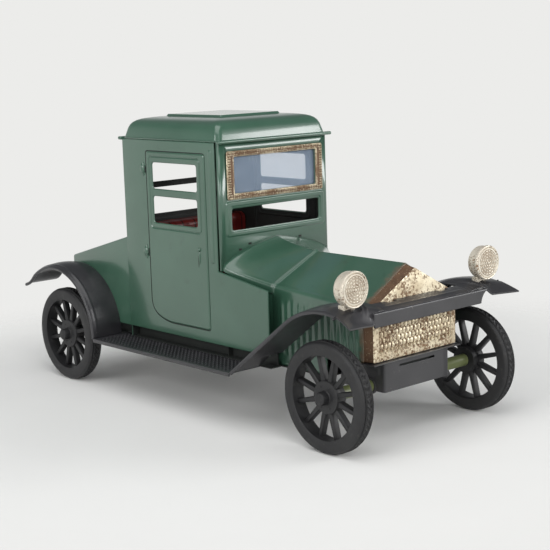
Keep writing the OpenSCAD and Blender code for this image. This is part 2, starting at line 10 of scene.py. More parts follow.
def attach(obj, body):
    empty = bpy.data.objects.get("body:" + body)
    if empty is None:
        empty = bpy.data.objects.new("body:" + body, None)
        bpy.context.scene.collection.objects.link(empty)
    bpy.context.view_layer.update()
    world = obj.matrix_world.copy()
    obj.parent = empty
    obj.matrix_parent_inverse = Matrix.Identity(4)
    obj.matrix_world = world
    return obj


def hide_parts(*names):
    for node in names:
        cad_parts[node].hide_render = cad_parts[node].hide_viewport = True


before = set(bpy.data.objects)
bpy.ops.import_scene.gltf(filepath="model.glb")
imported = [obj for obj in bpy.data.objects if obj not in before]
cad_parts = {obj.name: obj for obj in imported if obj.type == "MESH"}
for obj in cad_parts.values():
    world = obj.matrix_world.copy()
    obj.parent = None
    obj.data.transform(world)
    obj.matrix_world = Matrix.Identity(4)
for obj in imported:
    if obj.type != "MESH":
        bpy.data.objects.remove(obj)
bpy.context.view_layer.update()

MM = 0.001
TIN = 0.5

# Main places of the car, in millimetres.
WHEEL_R = 19.25
WHEEL_W = 5.6
TRACK_OUT = 39.3
FRONT_AXLE_X = 80.5
REAR_AXLE_X = -73.5
CAB_Y = 27.8
CAB_BACK_X = -42.3
SCREEN_X = 16.9
SILL_Z = 25.4
EAVES_Z = 100.8
BOARD_Z = 21.2
BOARD_Y = 41.4
HOOD_Y = 21.7
BEAD_X = 37.6
SHELL_X = 82.7
NOSE_X = 86.7
RIDGE_Z = 59.8
LAMP_Y = 33.7
LAMP_Z = 56.3


# ---- Finishes ----


def paint(red, green, blue):
    """A display colour of 0 to 255 as the linear one that a shader takes."""
    parts = [c / 255 for c in (red, green, blue)]
    return tuple(c / 12.92 if c < 0.04045 else ((c + 0.055) / 1.055) ** 2.4 for c in parts) + (1,)


class Value:
    """One socket of a finish. Sums with it add Math nodes."""

    def __init__(self, finish, socket):
        self.finish = finish
        self.socket = socket

    def math(self, operation, *values):
        return self.finish.node("ShaderNodeMath", {"operation": operation}, values)

    def __add__(self, other):
        return self.math("ADD", self, other)

    def __radd__(self, other):
        return self.math("ADD", other, self)

    def __sub__(self, other):
        return self.math("SUBTRACT", self, other)

    def __rsub__(self, other):
        return self.math("SUBTRACT", other, self)

    def __mul__(self, other):
        return self.math("MULTIPLY", self, other)

    def __rmul__(self, other):
        return self.math("MULTIPLY", other, self)

    def __gt__(self, other):
        return self.math("GREATER_THAN", self, other)

    def __lt__(self, other):
        return self.math("LESS_THAN", self, other)


class Finish:
    """A material in the making."""

    def __init__(self, name):
        self.material = bpy.data.materials.new(name)
        self.material.use_nodes = True
        self.tree = self.material.node_tree
        self.tree.nodes.clear()
        self.place = self.node("ShaderNodeTexCoord", output="Object")

    def node(self, kind, settings=None, sockets=(), output=0):
        made = self.tree.nodes.new(kind)
        for key, value in (settings or {}).items():
            if key == "stops":
                ramp = made.color_ramp.elements
                ramp[0].position, ramp[0].color = value[0]
                ramp[1].position, ramp[1].color = value[-1]
                for place, colour in value[1:-1]:
                    ramp.new(place).color = colour
            else:
                setattr(made, key, value)
        pairs = sockets.items() if isinstance(sockets, dict) else enumerate(sockets)
        for key, value in pairs:
            if isinstance(value, Value):
                self.tree.links.new(value.socket, made.inputs[key])
            else:
                made.inputs[key].default_value = value
        return Value(self, made.outputs[output])

    def mix(self, factor, first, second, kind="MIX"):
        settings = {"data_type": "RGBA", "blend_type": kind}
        return self.node("ShaderNodeMix", settings, {0: factor, 6: first, 7: second}, 2)

    def noise(self, size, detail=3.0, stretch=(1, 1, 1)):
        """Cloudy noise whose blots are about size millimetres across."""
        where = self.node("ShaderNodeMapping", {}, {"Vector": self.place, "Scale": stretch})
        sockets = {"Vector": where, "Scale": 1 / (size * MM), "Detail": detail}
        return self.node("ShaderNodeTexNoise", {}, sockets)

    def step(self, value, low, high):
        """0 below low and 1 above high, with a smooth rise between."""
        sockets = {"Value": value, "From Min": low, "From Max": high}
        return self.node("ShaderNodeMapRange", {"interpolation_type": "SMOOTHSTEP"}, sockets)

    def bump(self, height, depth, under=None):
        sockets = {"Height": height, "Strength": 1.0, "Distance": depth * MM}
        if under:
            sockets["Normal"] = under
        return self.node("ShaderNodeBump", {}, sockets)

    def split(self):
        """The x, y and z of a point of the object, in metres."""
        parts = self.node("ShaderNodeSeparateXYZ", {}, [self.place])
        outputs = parts.socket.node.outputs
        return [Value(self, outputs[i]) for i in range(3)]

    def done(self, **sockets):
        named = {key.replace("_", " "): value for key, value in sockets.items()}
        shader = self.node("ShaderNodeBsdfPrincipled", {}, named)
        self.node_out = self.tree.nodes.new("ShaderNodeOutputMaterial")
        self.tree.links.new(shader.socket, self.node_out.inputs["Surface"])
        return self.material


def enamel(f, rust_from=None):
    """The green stoving enamel of the body, rubbed to brown tin ahead of rust_from."""
    clouds = f.noise(30, 4)
    colour = f.mix(f.step(clouds, 0.35, 0.7), paint(50, 84, 67), paint(58, 92, 75))
    grime = f.step(f.noise(5, 6), 0.62, 0.8)
    colour = f.mix(grime * 0.3, colour, paint(32, 54, 43))
    specks = f.step(f.noise(0.7, 2), 0.74, 0.78) * f.step(f.noise(11, 2), 0.56, 0.66)
    colour = f.mix(specks * 0.7, colour, paint(26, 36, 30))
    rough = 0.26 + f.noise(6, 5) * 0.12
    if rust_from:
        x = f.split()[0]
        worn = f.step(x + (f.noise(3, 6) - 0.5) * (7 * MM), rust_from * MM, (rust_from + 3) * MM)
        bared = f.mix(f.noise(1.2, 5), paint(74, 60, 46), paint(122, 98, 76))
        colour = f.mix(worn * 0.9, colour, bared)
        rough = rough + worn * 0.2
    waves = f.bump(f.noise(22, 1), 0.2)
    skin = f.bump(f.noise(0.9, 3), 0.006, waves)
    return f.done(
        Base_Color=colour,
        Roughness=rough,
        Normal=skin,
        Coat_Weight=0.9,
        Coat_Roughness=0.12,
    )


def black_enamel():
    f = Finish("black_enamel")
    colour = f.mix(f.step(f.noise(14, 5), 0.4, 0.7), paint(38, 38, 41), paint(50, 49, 52))
    rubbed = f.step(f.noise(1.6, 6, (0.25, 1, 1)), 0.66, 0.76) * f.step(f.noise(9, 2), 0.5, 0.62)
    colour = f.mix(rubbed * 0.5, colour, paint(110, 106, 102))
    chips = f.step(f.noise(0.8, 2), 0.77, 0.8) * f.step(f.noise(6, 2), 0.58, 0.64)
    colour = f.mix(chips, colour, paint(206, 202, 196))
    rough = 0.34 + f.noise(7, 6) * 0.22
    skin = f.bump(f.noise(1.2, 4), 0.012, f.bump(f.noise(16, 1), 0.15))
    return f.done(Base_Color=colour, Roughness=rough, Normal=skin, Coat_Weight=0.3)


def shadow_enamel():
    """Near-black, mottled: painted shade for the tin's seams, slots and gaps, and the dark inside
    of every sheet.
    """
    f = Finish("shadow_enamel")
    colour = f.mix(f.noise(6, 5), paint(20, 24, 22), paint(34, 38, 35))
    return f.done(Base_Color=colour, Roughness=0.55 + f.noise(2, 4) * 0.2)


def wheel_black():
    f = Finish("wheel_black")
    colour = f.mix(f.step(f.noise(9, 5), 0.35, 0.7), paint(22, 22, 24), paint(31, 31, 32))
    dust = f.step(f.noise(2.2, 6), 0.6, 0.75)
    colour = f.mix(dust * 0.3, colour, paint(74, 72, 69))
    rough = 0.44 + f.noise(3, 5) * 0.2
    return f.done(Base_Color=colour, Roughness=rough, Normal=f.bump(f.noise(0.5, 3), 0.01))


def worn_nickel(name, rust_from, rust_to, size, bright, dull=paint(196, 182, 152)):
    """Cream plated tin with rust freckles of about size. The lower rust_from is, the more rust."""
    f = Finish(name)
    plate = f.mix(f.step(f.noise(6, 4), 0.35, 0.7), bright, dull)
    fine = f.noise(size, 5)
    broad = f.noise(8, 3)
    amount = f.step(fine * 0.62 + broad * 0.38, rust_from, rust_to)
    rust = f.mix(f.noise(1.1, 4), paint(86, 64, 46), paint(150, 118, 86))
    colour = f.mix(amount, plate, rust)
    pits = f.bump(amount * -1 + fine * 0.3, 0.08)
    return f.done(
        Base_Color=colour,
        Roughness=0.34 + amount * 0.4,
        Metallic=0.35 - amount * 0.3,
        Normal=pits,
    )


def rusty_flange():
    f = Finish("rusty_flange")
    colour = f.mix(f.noise(3, 6), paint(70, 50, 36), paint(122, 92, 68))
    freckle = f.step(f.noise(0.6, 3), 0.6, 0.7)
    colour = f.mix(freckle * 0.6, colour, paint(196, 176, 140))
    return f.done(Base_Color=colour, Roughness=0.42 + f.noise(1.5, 4) * 0.3, Metallic=0.3)


def window_pane():
    f = Finish("window_pane")
    haze = f.step(f.noise(8, 4), 0.3, 0.8)
    colour = f.mix(haze, paint(150, 168, 190), paint(162, 179, 200))
    return f.done(Base_Color=colour, Roughness=0.12, Alpha=0.37 + haze * 0.03)


def red_seat():
    f = Finish("red_seat")
    x, y, z = f.split()
    seams = f.node("ShaderNodeMath", {"operation": "PINGPONG"}, [y, 3.1 * MM]) * (1 / (3.1 * MM))
    colour = f.mix(f.step(f.noise(4, 5), 0.3, 0.75), paint(120, 34, 30), paint(142, 46, 40))
    colour = f.mix(f.step(seams, 0.16, 0.04), colour, paint(58, 16, 14))
    worn = f.step(f.noise(1.2, 5), 0.66, 0.74)
    colour = f.mix(worn * 0.6, colour, paint(120, 100, 84))
    return f.done(Base_Color=colour, Roughness=0.4, Normal=f.bump(seams, 0.25))


def bare_steel():
    f = Finish("bare_steel")
    colour = f.mix(f.step(f.noise(3, 5), 0.4, 0.75), paint(176, 178, 180), paint(130, 122, 112))
    return f.done(Base_Color=colour, Metallic=0.9, Roughness=0.3 + f.noise(1.5, 5) * 0.2)


def gear_brass():
    f = Finish("gear_brass")
    colour = f.mix(f.step(f.noise(2.5, 5), 0.4, 0.75), paint(196, 162, 88), paint(140, 110, 62))
    return f.done(Base_Color=colour, Metallic=0.9, Roughness=0.3 + f.noise(1, 5) * 0.2)


def olive_sleeve():
    f = Finish("olive_sleeve")
    colour = f.mix(f.noise(2.5, 4), paint(96, 106, 66), paint(116, 122, 82))
    return f.done(Base_Color=colour, Roughness=0.42, Normal=f.bump(f.noise(0.8, 3), 0.02))


GREEN = enamel(Finish("green_enamel"))
NOSE_GREEN = enamel(Finish("worn_green_enamel"), 80)
SHADOW = shadow_enamel()
BLACK = black_enamel()
WHEEL = wheel_black()
GRILLE = worn_nickel("worn_nickel", 0.44, 0.6, 0.8, paint(238, 226, 198), paint(204, 188, 158))
FRAME_NICKEL = worn_nickel("freckled_nickel", 0.45, 0.53, 0.45, paint(226, 214, 186))
LAMP_GREY = paint(204, 194, 178)
LAMP_NICKEL = worn_nickel("lamp_nickel", 0.6, 0.7, 0.8, paint(236, 230, 216), LAMP_GREY)
CUP_NICKEL = worn_nickel("cup_nickel", 0.54, 0.64, 0.7, paint(222, 214, 198), LAMP_GREY)
LENS_TIN = worn_nickel("lens_tin", 0.52, 0.68, 0.6, paint(196, 184, 166), paint(168, 154, 136))
FLANGE = rusty_flange()
PANE = window_pane()
SEAT = red_seat()
STEEL = bare_steel()
BRASS = gear_brass()
OLIVE = olive_sleeve()


# ---- Working tin ----


def loop(bm, points, corner=0.0, steps=4):
    """A closed wire drawn flat through (u, v) points, with its corners rounded."""
    kept = set(bm.edges)
    verts = [bm.verts.new((u, v, 0)) for u, v in points]
    for pair in zip(verts, verts[1:] + verts[:1]):
        bm.edges.new(pair)
    if corner:
        bmesh.ops.bevel(
            bm,
            geom=verts,
            offset=corner,
            offset_type="OFFSET",
            segments=steps,
            profile=0.5,
            affect="VERTICES",
            material=-1,
        )
    return [e for e in bm.edges if e not in kept]


def box_loop(bm, low, high, corner=0.0, steps=4):
    (u0, v0), (u1, v1) = low, high
    return loop(bm, [(u0, v0), (u1, v0), (u1, v1), (u0, v1)], corner, steps)


def fill(bm, *loops):
    """A flat area between an outer loop and any inner ones."""
    edges = [e for each in loops for e in each]
    made = bmesh.ops.triangle_fill(bm, use_beauty=True, edges=edges, normal=(0, 0, 1))
    return [g for g in made["geom"] if isinstance(g, bmesh.types.BMFace)]


def inset(bm, faces, width, height, boundary=False):
    """Draws an area in by width and lifts it by height. Returns the new rim."""
    return bmesh.ops.inset_region(
        bm,
        faces=faces,
        use_boundary=boundary,
        use_even_offset=True,
        thickness=width,
        depth=height,
    )["faces"]


def press(bm, faces, width, height):
    """Presses an area up by height, over a soft step of that width."""
    for part, rise in ((0.04, 0), (0.24, 0.16), (0.44, 0.68), (0.24, 0.16), (0.04, 0)):
        inset(bm, faces, width * part, height * rise)


def seam(bm, faces, width, depth):
    """A groove round an area, its faces given the second finish as painted shade."""
    rims = inset(bm, faces, width * 0.2, -depth) + inset(bm, faces, width * 0.6, 0)
    inset(bm, faces, width * 0.2, depth)
    # the groove's faces take painted shade
    for face in rims:
        face.material_index = 1


def roll_edges(bm, faces, radius):
    """Rolls the open edges of a flat sheet down over a quarter turn."""
    for up, back in quarter_turn(radius, 4):
        inset(bm, faces, -back, up, True)
    bmesh.ops.translate(bm, vec=(0, 0, -radius), verts=bm.verts)


def quarter_turn(radius, count):
    """The steps of a roll over a quarter turn, as (out, back)."""
    turns = [i * math.pi / 2 / count for i in range(count + 1)]
    return [
        (radius * (math.sin(b) - math.sin(a)), radius * (math.cos(b) - math.cos(a)))
        for a, b in zip(turns, turns[1:])
    ]


def open_window(bm, faces, radius):
    """Opens an area as a window whose edge is rolled inwards."""
    for out, back in quarter_turn(radius, 3):
        inset(bm, faces, out, back)
    bmesh.ops.delete(bm, geom=faces, context="FACES")


def grow(bm, edges):
    """Draws a sheet on from its edges. Returns the new edges and their points."""
    grown = bmesh.ops.extrude_edge_only(bm, edges=edges)["geom"]
    verts = [g for g in grown if isinstance(g, bmesh.types.BMVert)]
    edges = [g for g in grown if isinstance(g, bmesh.types.BMEdge)]
    return [e for e in edges if all(v in verts for v in e.verts)], verts


def fold(bm, edges, moves):
    """Draws a sheet on from its edges by one move after another."""
    for move in moves:
        edges, verts = grow(bm, edges)
        bmesh.ops.translate(bm, vec=move, verts=verts)


def face_up(bm, axis):
    """Turns the faces of a sheet so that most of it looks along axis 0, 1 or 2."""
    bmesh.ops.recalc_face_normals(bm, faces=bm.faces)
    if sum(f.normal[axis] for f in bm.faces) < 0:
        bmesh.ops.reverse_faces(bm, faces=bm.faces)


def sheet_of(bm, columns, rows, place, out=(0, 0, 1)):
    """A sheet of squares laid where place(u, v) says, for u and v from 0 to 1. It faces out."""
    made = bmesh.ops.create_grid(bm, x_segments=columns, y_segments=rows, size=0.5)["verts"]
    for vert in made:
        vert.co = place(vert.co.x + 0.5, vert.co.y + 0.5)
    faces = {f for v in made for f in v.link_faces}
    bm.normal_update()
    if sum((f.normal.dot(Vector(out)) for f in faces), 0.0) < 0:
        bmesh.ops.reverse_faces(bm, faces=list(faces))
    return made


def bell(distance, width):
    return math.exp(-((distance / width) ** 2))


def ease(value, low, high):
    """0 below low and 1 above high, with a smooth rise between."""
    t = min(1, max(0, (value - low) / (high - low)))
    return t * t * (3 - 2 * t)


def bevelled(bm, edges, width, steps=2):
    bmesh.ops.bevel(
        bm,
        geom=edges,
        offset=width,
        offset_type="OFFSET",
        segments=steps,
        profile=0.5,
        affect="EDGES",
        material=-1,
        clamp_overlap=True,
    )


def sharp_edges(bm, degrees):
    limit = math.radians(degrees)
    return [e for e in bm.edges if len(e.link_faces) == 2 and e.calc_face_angle() > limit]


def block(bm, low, high):
    """A box between two corners, in millimetres."""
    low, high = Vector(low), Vector(high)
    made = bmesh.ops.create_cube(bm, size=1)["verts"]
    bmesh.ops.scale(bm, vec=high - low, verts=made)
    bmesh.ops.translate(bm, vec=(low + high) / 2, verts=made)
    return made


def turned(bm, profile, steps, is_solid=False):
    """Turns an outline of (radius, along) points round the Y axis.

    The outline of a solid part starts and ends on the axis. Any other closes on itself.
    """
    verts = [bm.verts.new((r, a, 0)) for r, a in profile]
    last = [] if is_solid else verts[:1]
    edges = [bm.edges.new(pair) for pair in zip(verts, verts[1:] + last)]
    bmesh.ops.spin(
        bm,
        geom=verts + edges,
        cent=(0, 0, 0),
        axis=(0, 1, 0),
        dvec=(0, 0, 0),
        angle=math.tau,
        steps=steps,
        use_merge=True,
        use_duplicate=False,
    )


def mirrored(bm):
    """The left-hand twin of a right-hand shape."""
    bmesh.ops.scale(bm, vec=(1, -1, 1), verts=bm.verts)
    bmesh.ops.reverse_faces(bm, faces=bm.faces)


def finished(name, bm, finishes, nodes, body="body", sheet=0.0, edge=0.0, crease=35):
    """Makes the worked shape, drawn in millimetres, a piece that stands for its nodes.

    A sheet of tin shows the second finish inside.
    """
    bmesh.ops.scale(bm, vec=(MM, MM, MM), verts=bm.verts)
    for face in bm.faces:
        face.smooth = True
    mesh = bpy.data.meshes.new(name)
    bm.to_mesh(mesh)
    bm.free()
    for finish in finishes:
        mesh.materials.append(finish)
    mesh.set_sharp_from_angle(angle=math.radians(crease))
    piece = bpy.data.objects.new(name, mesh)
    bpy.context.scene.collection.objects.link(piece)
    if sheet:
        wall = piece.modifiers.new("sheet", "SOLIDIFY")
        wall.thickness = sheet * MM
        wall.offset = -1
        wall.use_even_offset = True
        wall.material_offset = len(finishes) - 1
    if edge:
        soft = piece.modifiers.new("edge", "BEVEL")
        soft.width = edge * MM
        soft.segments = 2
        soft.limit_method = "ANGLE"
        soft.angle_limit = math.radians(50)
        soft.harden_normals = True
        soft.use_clamp_overlap = True
    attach(piece, body)
    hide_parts(*nodes)
    return piece


def coat(finish, *nodes):
    """Gives carried-over nodes their finish."""
    for node in nodes:
        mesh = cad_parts[node].data
        mesh.materials.clear()
        mesh.materials.append(finish)


# ---- Wheels ----


def wheel_shape():
    """A moulded wheel on the Y axis, with its outer face at y 0 and the rest behind it."""
    bm = bmesh.new()
    band = [(WHEEL_R - 0.5, 1.3 + 0.2 * i) for i in range(16)]
    tyre = [(14.4, 0.12), (14.55, 0), (17.9, 0), (18.35, 0.12), (18.75, 0.45), (19.02, 0.9)]
    tyre += band + [(19.02, 4.7), (18.75, 5.15), (18.35, 5.48), (17.9, WHEEL_W)]
    tyre += [(14.8, WHEEL_W), (14.55, 5.3), (14.34, 4.6), (14.34, 1.2)]
    turned(bm, tyre, 320)
    chain(bm)
    spokes(bm)
    hub = [(0, -1.6), (1.5, -1.6), (2.1, -1.35), (2.3, -0.9), (2.3, 1.1), (2.55, 1.35), (5.2, 1.4)]
    hub += [(5.6, 1.5), (5.8, 1.8), (5.8, 3.9), (5.6, 4.2), (5.1, 4.3), (5, 4.5)]
    hub += [(5, 6), (4.8, 6.4), (2.6, 6.4), (0, 6.4)]
    turned(bm, hub, 64, is_solid=True)
    bolts(bm)
    bmesh.ops.remove_doubles(bm, verts=bm.verts, dist=0.001)
    bmesh.ops.recalc_face_normals(bm, faces=bm.faces)
    return bm


def chain(bm):
    """Raises the tread's band of linked diamonds."""
    links, middle, swing, thick, rise = 30, 2.8, 0.95, 0.3, 0.5
    for vert in bm.verts:
        radius = math.hypot(vert.co.x, vert.co.z)
        if radius < WHEEL_R - 0.55 or abs(vert.co.y - middle) > 1.45:
            continue
        turn = links * math.atan2(vert.co.z, vert.co.x)
        gaps = [vert.co.y - middle - s * swing * math.sin(turn) for s in (-1, 1)]
        near = max(math.exp(-((g / thick) ** 2)) for g in gaps)
        edge = math.exp(-(((abs(vert.co.y - middle) - 1.35) / 0.2) ** 2))
        grow = 1 + rise * max(near, edge) / radius
        vert.co.x *= grow
        vert.co.z *= grow


def spokes(bm):
    """Twelve slim spokes that taper towards the rim."""
    count, inner, outer = 12, 4.8, 14.8
    part = bmesh.new()
    verts = block(part, (inner, 1.9, -0.95), (outer, 4.5, 0.95))
    tips = [v for v in verts if v.co.x > 10]
    bmesh.ops.scale(part, vec=(1, 1, 0.74), verts=tips)
    bevelled(part, list(part.edges), 0.38, 3)
    mesh = bpy.data.meshes.new("spoke")
    part.to_mesh(mesh)
    part.free()
    for i in range(count):
        known = set(bm.verts)
        bm.from_mesh(mesh)
        fresh = [v for v in bm.verts if v not in known]
        turn = Matrix.Rotation((i + 0.5) * math.tau / count, 3, "Y")
        bmesh.ops.rotate(bm, cent=(0, 0, 0), matrix=turn, verts=fresh)
    bpy.data.meshes.remove(mesh)


def bolts(bm):
    """Six small bolt heads round the hub."""
    for i in range(6):
        made = bmesh.ops.create_uvsphere(bm, u_segments=12, v_segments=6, radius=0.42)["verts"]
        bmesh.ops.scale(bm, vec=(1, 0.6, 1), verts=made)
        bmesh.ops.translate(bm, vec=(4, 1.4, 0), verts=made)
        turn = Matrix.Rotation(i * math.tau / 6, 3, "Y")
        bmesh.ops.rotate(bm, cent=(0, 0, 0), matrix=turn, verts=made)


def wheels():
    places = [
        ("wheel_front_right", FRONT_AXLE_X, False, "front_wheels"),
        ("wheel_front_left", FRONT_AXLE_X, True, "front_wheels"),
        ("wheel_rear_right", REAR_AXLE_X, False, "rear_wheels"),
        ("wheel_rear_left", REAR_AXLE_X, True, "rear_wheels"),
    ]
    for node, x, is_left, body in places:
        bm = wheel_shape()
        bmesh.ops.translate(bm, vec=(x, -TRACK_OUT, WHEEL_R), verts=bm.verts)
        if is_left:
            mirrored(bm)
        finished("moulded_" + node, bm, [WHEEL], [node], body, crease=40)


# ---- Cab ----

def facing_forward(x):
    """Stands a flat drawing up at x, facing forward."""
    return Matrix(((0, 0, 1, x), (1, 0, 0, 0), (0, 1, 0, 0), (0, 0, 0, 1)))


RIGHT_SIDE = Matrix(((1, 0, 0, 0), (0, 0, -1, -CAB_Y), (0, 1, 0, 0), (0, 0, 0, 1)))
FRONT_WALL = facing_forward(SCREEN_X)
BACK_WALL = Matrix(((0, 0, -1, CAB_BACK_X), (-1, 0, 0, 0), (0, 1, 0, 0), (0, 0, 0, 1)))
TWO_FACED = (GREEN, SHADOW)


def cab_side(is_left):
    """A cab side: one pressed sheet with the door, its window surround and two windows."""
    bm = bmesh.new()
    outline = [(CAB_BACK_X, SILL_Z), (41.9, SILL_Z), (41.9, 49.2), (14.6, 53.4)]
    outline += [(14.6, EAVES_Z), (CAB_BACK_X, EAVES_Z)]
    wall = loop(bm, outline)
    door_points = [(-27.2, 37.5), (-26.3, 34.6), (-23.6, 32.2), (-19.5, 30.7), (-15, 29.9)]
    door_points += [(9.4, 29.9), (9.4, 96.7), (-27.2, 96.7)]
    door = loop(bm, door_points, 1.4, 3)
    surround = box_loop(bm, (-25.2, 66.2), (6.8, 95), 2.0)
    upper = box_loop(bm, (-23.4, 81.6), (4.6, 92.6), 1.5)
    lower = box_loop(bm, (-23.4, 68.4), (4.4, 79.6), 1.5)
    rib = box_loop(bm, (11.1, 56), (13.3, 98), 0.7, 3)
    fill(bm, wall, door, rib)
    post = fill(bm, rib)
    panel = fill(bm, door, surround)
    band = fill(bm, surround, upper, lower)
    windows = fill(bm, upper) + fill(bm, lower)
    roll_edges(bm, list(bm.faces), 0.5)
    seam(bm, panel + band + windows, 0.42, 0.22)
    press(bm, panel + band + windows, 0.5, 0.3)
    press(bm, band + windows, 0.6, -0.35)
    press(bm, band + windows, 0.4, 0.35)
    open_window(bm, windows, 0.45)
    press(bm, post, 0.6, 0.35)
    bm.transform(RIGHT_SIDE)
    if is_left:
        mirrored(bm)
    side = "left" if is_left else "right"
    name = "cab_side_" + side
    finished("pressed_" + name, bm, TWO_FACED, [name], sheet=TIN, edge=0.1)
    bm = bmesh.new()
    for z in (57, 89.5):
        hinge(bm, z)
    handle(bm)
    bm.transform(RIGHT_SIDE)
    if is_left:
        mirrored(bm)
    finished("door_fittings_" + side, bm, TWO_FACED, [name])


def knob(bm, x, z, size, proud=0.0):
    """A small rounded boss of half-sizes size on a side panel."""
    made = bmesh.ops.create_uvsphere(bm, u_segments=16, v_segments=10, radius=1)["verts"]
    bmesh.ops.scale(bm, vec=size, verts=made)
    bmesh.ops.translate(bm, vec=(x, z, proud), verts=made)
    return {f for v in made for f in v.link_faces}


def hinge(bm, z):
    """A hinge embossed behind the door: a knuckle on a short pin, with a thin strip of painted
    shade beside it.
    """
    knob(bm, -28.7, z, (0.6, 2.9, 0.6))
    knob(bm, -29.1, z, (1.4, 2.1, 1.0))
    # a thin strip in the second finish: painted shade beside the knuckle
    for face in knob(bm, -27.5, z - 0.3, (0.22, 1.7, 0.25)):
        face.material_index = 1


def handle(bm):
    """The door's lever, pressed as an upright drop with a round top."""
    knob(bm, 4.6, 60.6, (0.8, 0.8, 0.9), 0.2)
    knob(bm, 4.6, 57.6, (0.5, 2.6, 0.5), 0.2)
    # a thin dark dash in the second finish: painted shade below the lever
    for face in knob(bm, 3.9, 56, (0.18, 2.4, 0.12), 0.3):
        face.material_index = 1


def windscreen_wall():
    """The cab's front sheet: two openings, rolled corners, and the firewall below."""
    bm = bmesh.new()
    half, corner, top, foot = 26.0, 1.3, EAVES_Z, 53.5
    wall = box_loop(bm, (-half, foot), (half, top))
    upper = box_loop(bm, (-20.6, 81.7), (20.6, 95.2), 0.6)
    ledge = box_loop(bm, (-25.2, 65.6), (25.2, 79.2), 1.6)
    trough = box_loop(bm, (-23.2, 67.2), (23.2, 77.4), 1.4)
    lower = box_loop(bm, (-22.1, 68.1), (22.1, 76.2), 1.0)
    fill(bm, wall, upper, ledge)
    rim = fill(bm, ledge, trough)
    lip = fill(bm, trough, lower)
    press(bm, rim + lip, 0.8, 0.55)
    press(bm, lip, 0.6, -0.4)
    steps = quarter_turn(corner, 4) + [(0, -0.2), (-0.9, 0), (0, -3.2)]
    for side in (-1, 1):
        edges = [e for e in bm.edges if all(abs(v.co.x - side * half) < 0.01 for v in e.verts)]
        fold(bm, edges, [(side * out, 0, back) for out, back in steps])
    # Three tab slots, drawn as thin blocks in the second finish: painted shade for the holes.
    for y, z in ((-18.5, 60.7), (-13.7, 62.4), (11.9, 62.3)):
        for vert in block(bm, (y - 0.7, z - 0.35, 0.02), (y + 0.7, z + 0.35, 0.12)):
            for face in vert.link_faces:
                face.material_index = 1
    bmesh.ops.recalc_face_normals(bm, faces=bm.faces)
    bm.transform(FRONT_WALL)
    finished(
        "pressed_windscreen_wall", bm, TWO_FACED, ["windscreen_panel"], sheet=TIN
    )
    # The firewall below, finished wholly in painted shade so that the view past the hood's sides
    # reads dark.
    bm = bmesh.new()
    block(bm, (SCREEN_X - TIN, -half, BOARD_Z), (SCREEN_X, half, 54))
    bevelled(bm, list(bm.edges), 0.1, 2)
    finished("firewall", bm, [SHADOW], ["windscreen_panel"])


def back_wall():
    """The cab's rear sheet with its two windows."""
    bm = bmesh.new()
    wall = box_loop(bm, (-27.3, BOARD_Z), (27.3, EAVES_Z))
    rim = box_loop(bm, (-18, 67), (18, 94.2), 1.6)
    upper = box_loop(bm, (-16, 82.3), (16, 92.2), 1.4)
    lower = box_loop(bm, (-16, 69.3), (16, 79.9), 1.4)
    fill(bm, wall, rim)
    band = fill(bm, rim, upper, lower)
    press(bm, band, 0.8, 0.35)
    bm.transform(BACK_WALL)
    finished(
        "pressed_back_wall", bm, TWO_FACED, ["cab_back"], sheet=TIN, edge=0.1
    )


def windscreen_frame():
    """The plated frame: a band of tiny beads between an outer rim and a smooth inner bar."""
    bm = bmesh.new()
    outer = box_loop(bm, (-24.1, 79.5), (24.1, 97.4), 0.8)
    opening = box_loop(bm, (-20.6, 81.7), (20.6, 95.2), 0.5)
    liner = box_loop(bm, (-21.3, 81.25), (21.3, 95.65), 0.5)
    band = fill(bm, outer, liner)
    bar = fill(bm, liner, opening)
    roll_edges(bm, band + bar, 0.35)
    for part in band:
        part.material_index = 1
    bmesh.ops.translate(bm, vec=(0, 0, 0.7), verts=bm.verts)
    pitch = 0.92
    rows = [(22.7, 80.15, 96.75), (23.4, 80.15, 96.75)]
    for y, low, high in rows:
        count = round((high - low) / pitch)
        for i in range(count + 1):
            for side in (-1, 1):
                bead(bm, side * y, low + (high - low) * i / count)
    for z in (80.15, 80.95, 95.95, 96.75):
        count = round(44 / pitch)
        for i in range(count + 1):
            bead(bm, -22 + 44 * i / count, z)
    bm.transform(FRONT_WALL)
    finished(
        "plated_windscreen_frame",
        bm,
        [FRAME_NICKEL, FLANGE],
        ["windscreen_frame"],
    )


def bead(bm, y, z):
    made = bmesh.ops.create_icosphere(bm, subdivisions=1, radius=0.36)["verts"]
    bmesh.ops.translate(bm, vec=(y, z, 0.72), verts=made)


